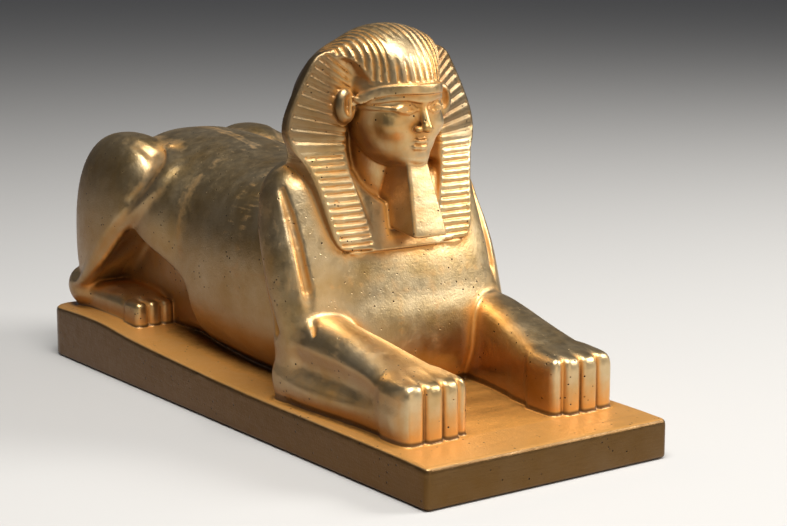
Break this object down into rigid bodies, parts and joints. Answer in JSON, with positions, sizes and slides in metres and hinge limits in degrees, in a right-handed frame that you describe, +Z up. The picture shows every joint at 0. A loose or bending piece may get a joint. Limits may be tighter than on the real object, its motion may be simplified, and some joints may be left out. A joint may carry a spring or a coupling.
{
  "type": "sphinx statue",
  "caption": "Gilt cast statuette of a couchant sphinx with royal headcloth and false beard, on a long rectangular plinth.",
  "frame": {"origin": "middle of the plinth's underside", "axes": "+Z up; the face and forepaws point along -Y; +X is the statue's own left"},
  "size_m": [0.08, 0.2088, 0.1134],
  "materials": {
    "gilt": "worn satin gilding, warm gold with amber-brown in the hollows"
  },
  "bodies": {
    "root": {"sphinx_statue": "gilt"}
  },
  "joints": []
}
